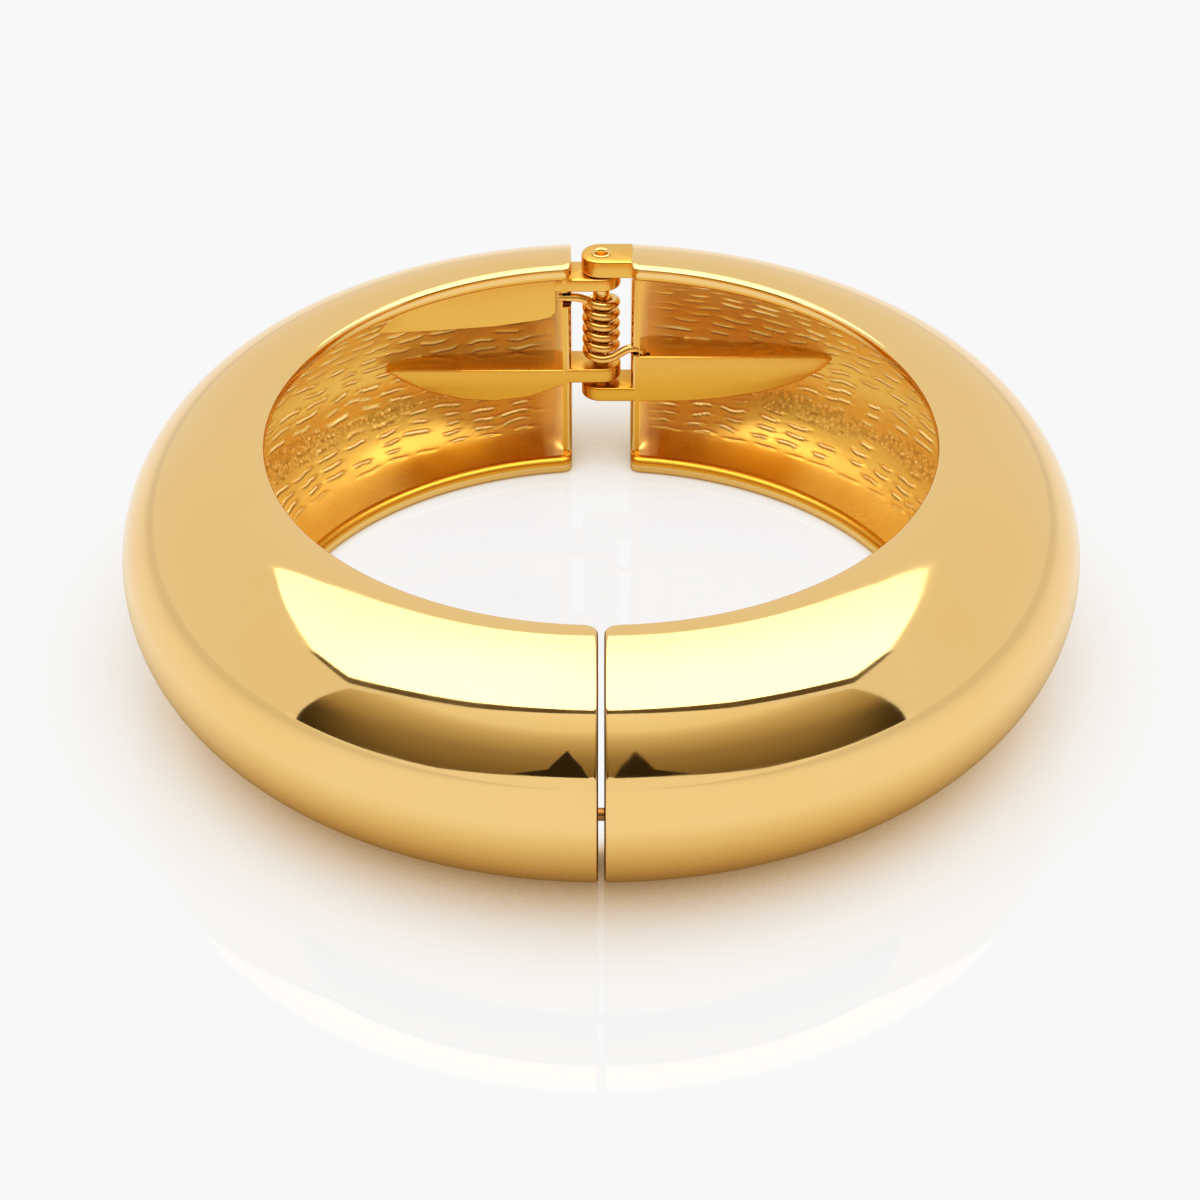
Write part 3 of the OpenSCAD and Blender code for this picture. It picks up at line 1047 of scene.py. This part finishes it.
def room_fill(tree, x, y, z):
    """Dim warm room: lighter towards the ceiling and the middle."""
    flat = number_node(tree, "SQRT", number_node(tree, "ADD", number_node(tree, "MULTIPLY", x, x), 1.0))
    rise = number_node(tree, "DIVIDE", z, number_node(tree, "MULTIPLY", flat, 2.0))
    colour = colour_ramp(tree, rise, [
        (0.0, (0.14, 0.095, 0.04)), (1.0, (1.0, 1.0, 1.0)), (0.07, (0.19, 0.135, 0.06)),
        (0.15, (0.27, 0.2, 0.095)), (0.225, (0.33, 0.25, 0.13)), (0.31, (0.47, 0.38, 0.22)),
        (0.42, (0.64, 0.56, 0.38)), (0.55, (0.9, 0.86, 0.74))])
    far = range_node(tree, number_node(tree, "ABSOLUTE", x), 0.7, 2.6, 0.0, 0.7)
    low = range_node(tree, rise, 0.13, 0.26, 1.0, 0.0)
    return colour, number_node(tree, "SUBTRACT", 1.0, number_node(tree, "MULTIPLY", far, low))


SOFTBOX = [(0, -0.47), (0.43, -0.43), (0.97, -0.286), (0.96, 0.03), (0.76, 0.44), (0.54, 0.83), (0.3, 0.95),
           (0.16, 1.1), (0, 1.24)]
RIM = [(0, -0.545), (0.46, -0.545), (1.1, -0.39), (1.04, 0.0), (0.9, -0.1), (0, -0.3)]
ROOM = [(0, 0.19), (0.3, 0.16), (0.7, 0.075), (1.3, 0.05), (2.7, 0.04), (2.55, 1.0), (2.5, 2.15), (1.7, 2.0),
        (1.2, 1.9), (0, 1.9)]
APRON = [(-3.2, -0.01), (3.2, -0.01), (3.2, 0.22), (-3.2, 0.22)]
CAMERA_SHADE = [(0.045, 0.17), (0.34, 0.17), (0.2, 0.28), (0.135, 0.61), (0.08, 0.36)]

sheet("softbox", both_sides([(x, y, 1.0) for x, y in SOFTBOX]), shaded_glow("softbox_glow", softbox_fill))
sheet("softbox_rim", both_sides([(x, y, 1.02) for x, y in RIM]), glow("dark_rim", 0.12, (1, 0.75, 0.45)))
sheet("room", both_sides([(x, -1.0, z) for x, z in ROOM]), shaded_glow("room_glow", room_fill))
sheet("apron", [(x, -1.02, z) for x, z in APRON], glow("white_card", 0.93))
for side in (-1, 1):
    corners = [(side * x, -0.98, z) for x, z in CAMERA_SHADE]
    sheet("camera_shade", corners, glow("camera_dark", 0.03, (1, 0.7, 0.4)))


def floor_material():
    """Glossy white acrylic: a painted warm soft shadow close to the bangle, from how near things stand, and a
    faint mirror image.
    """
    mat = bpy.data.materials.new("glossy_white")
    mat.use_nodes = True
    tree = mat.node_tree
    tree.nodes.clear()
    near = tree.nodes.new("ShaderNodeAmbientOcclusion")
    near.inputs["Distance"].default_value = 0.016
    near.samples = 5
    light = tree.nodes.new("ShaderNodeEmission")
    # Painted shadow: the floor glows warm and dark where things stand near it.
    seen = colour_ramp(tree, near.outputs["AO"], [
        (0.0, (0.08, 0.03, 0.01)), (1.0, (0.942, 0.942, 0.942)), (0.1, (0.33, 0.16, 0.05)),
        (0.2, (0.56, 0.34, 0.13)), (0.32, (0.68, 0.53, 0.36)), (0.5, (0.87, 0.79, 0.69)),
        (0.66, (0.93, 0.915, 0.88)), (0.76, (0.945, 0.945, 0.943))])
    # Painted shade in reflections: there the floor is darker and warmer near the bangle, and darker away from
    # the middle.
    mirrored = colour_ramp(tree, near.outputs["AO"], [
        (0.0, (0.08, 0.03, 0.01)), (1.0, (0.95, 0.95, 0.95)), (0.3, (0.35, 0.19, 0.045)),
        (0.5, (0.56, 0.38, 0.13)), (0.66, (0.76, 0.66, 0.42)), (0.8, (0.88, 0.83, 0.68)),
        (0.92, (0.93, 0.91, 0.85))])
    place = tree.nodes.new("ShaderNodeTexCoord").outputs["Object"]
    split = tree.nodes.new("ShaderNodeSeparateXYZ")
    tree.links.new(place, split.inputs[0])
    dim = range_node(tree, number_node(tree, "ABSOLUTE", split.outputs[0]), 0.06, 0.22, 1.0, 0.8)
    dimmed = tree.nodes.new("ShaderNodeVectorMath")
    dimmed.operation = "SCALE"
    tree.links.new(mirrored, dimmed.inputs[0])
    tree.links.new(dim, dimmed.inputs["Scale"])
    path = tree.nodes.new("ShaderNodeLightPath")
    tree.links.new(mixed(tree, path.outputs["Is Camera Ray"], dimmed.outputs[0], seen), light.inputs["Color"])
    shine = tree.nodes.new("ShaderNodeBsdfGlossy")
    shine.inputs["Roughness"].default_value = 0.04
    shine.inputs["Color"].default_value = (1, 1, 1, 1)
    edge = tree.nodes.new("ShaderNodeFresnel")
    edge.inputs["IOR"].default_value = 1.55
    mix = tree.nodes.new("ShaderNodeMixShader")
    faint = number_node(tree, "MULTIPLY", edge.outputs[0], 0.6)
    tree.links.new(number_node(tree, "MULTIPLY", faint, path.outputs["Is Camera Ray"]), mix.inputs[0])
    tree.links.new(light.outputs[0], mix.inputs[1])
    tree.links.new(shine.outputs[0], mix.inputs[2])
    out = tree.nodes.new("ShaderNodeOutputMaterial")
    tree.links.new(mix.outputs[0], out.inputs["Surface"])
    mat.cycles.emission_sampling = "NONE"
    return mat


bpy.ops.mesh.primitive_plane_add(size=14, location=(0, 2, 0))
floor = bpy.context.object
floor.name = "floor"
floor.data.materials.append(floor_material())

world = bpy.data.worlds.new("studio_walls")
bpy.context.scene.world = world
world.use_nodes = True
world.node_tree.nodes["Background"].inputs["Color"].default_value = (0.85, 0.85, 0.85, 1)
world.node_tree.nodes["Background"].inputs["Strength"].default_value = 1.0

bpy.context.scene.view_settings.view_transform = "Standard"

# Camera
CAMERA_FAR = 0.400
CAMERA_UP = math.radians(34.5)
camera_data = bpy.data.cameras.new("camera")
camera_data.sensor_width = 36
camera_data.lens = 130.3
camera_data.shift_x = -0.00098
camera = bpy.data.objects.new("camera", camera_data)
bpy.context.collection.objects.link(camera)
camera.location = (0, -CAMERA_FAR * math.cos(CAMERA_UP), CAMERA_FAR * math.sin(CAMERA_UP))
camera.rotation_euler = (math.radians(90 - 33.89), 0, 0)
bpy.context.scene.camera = camera
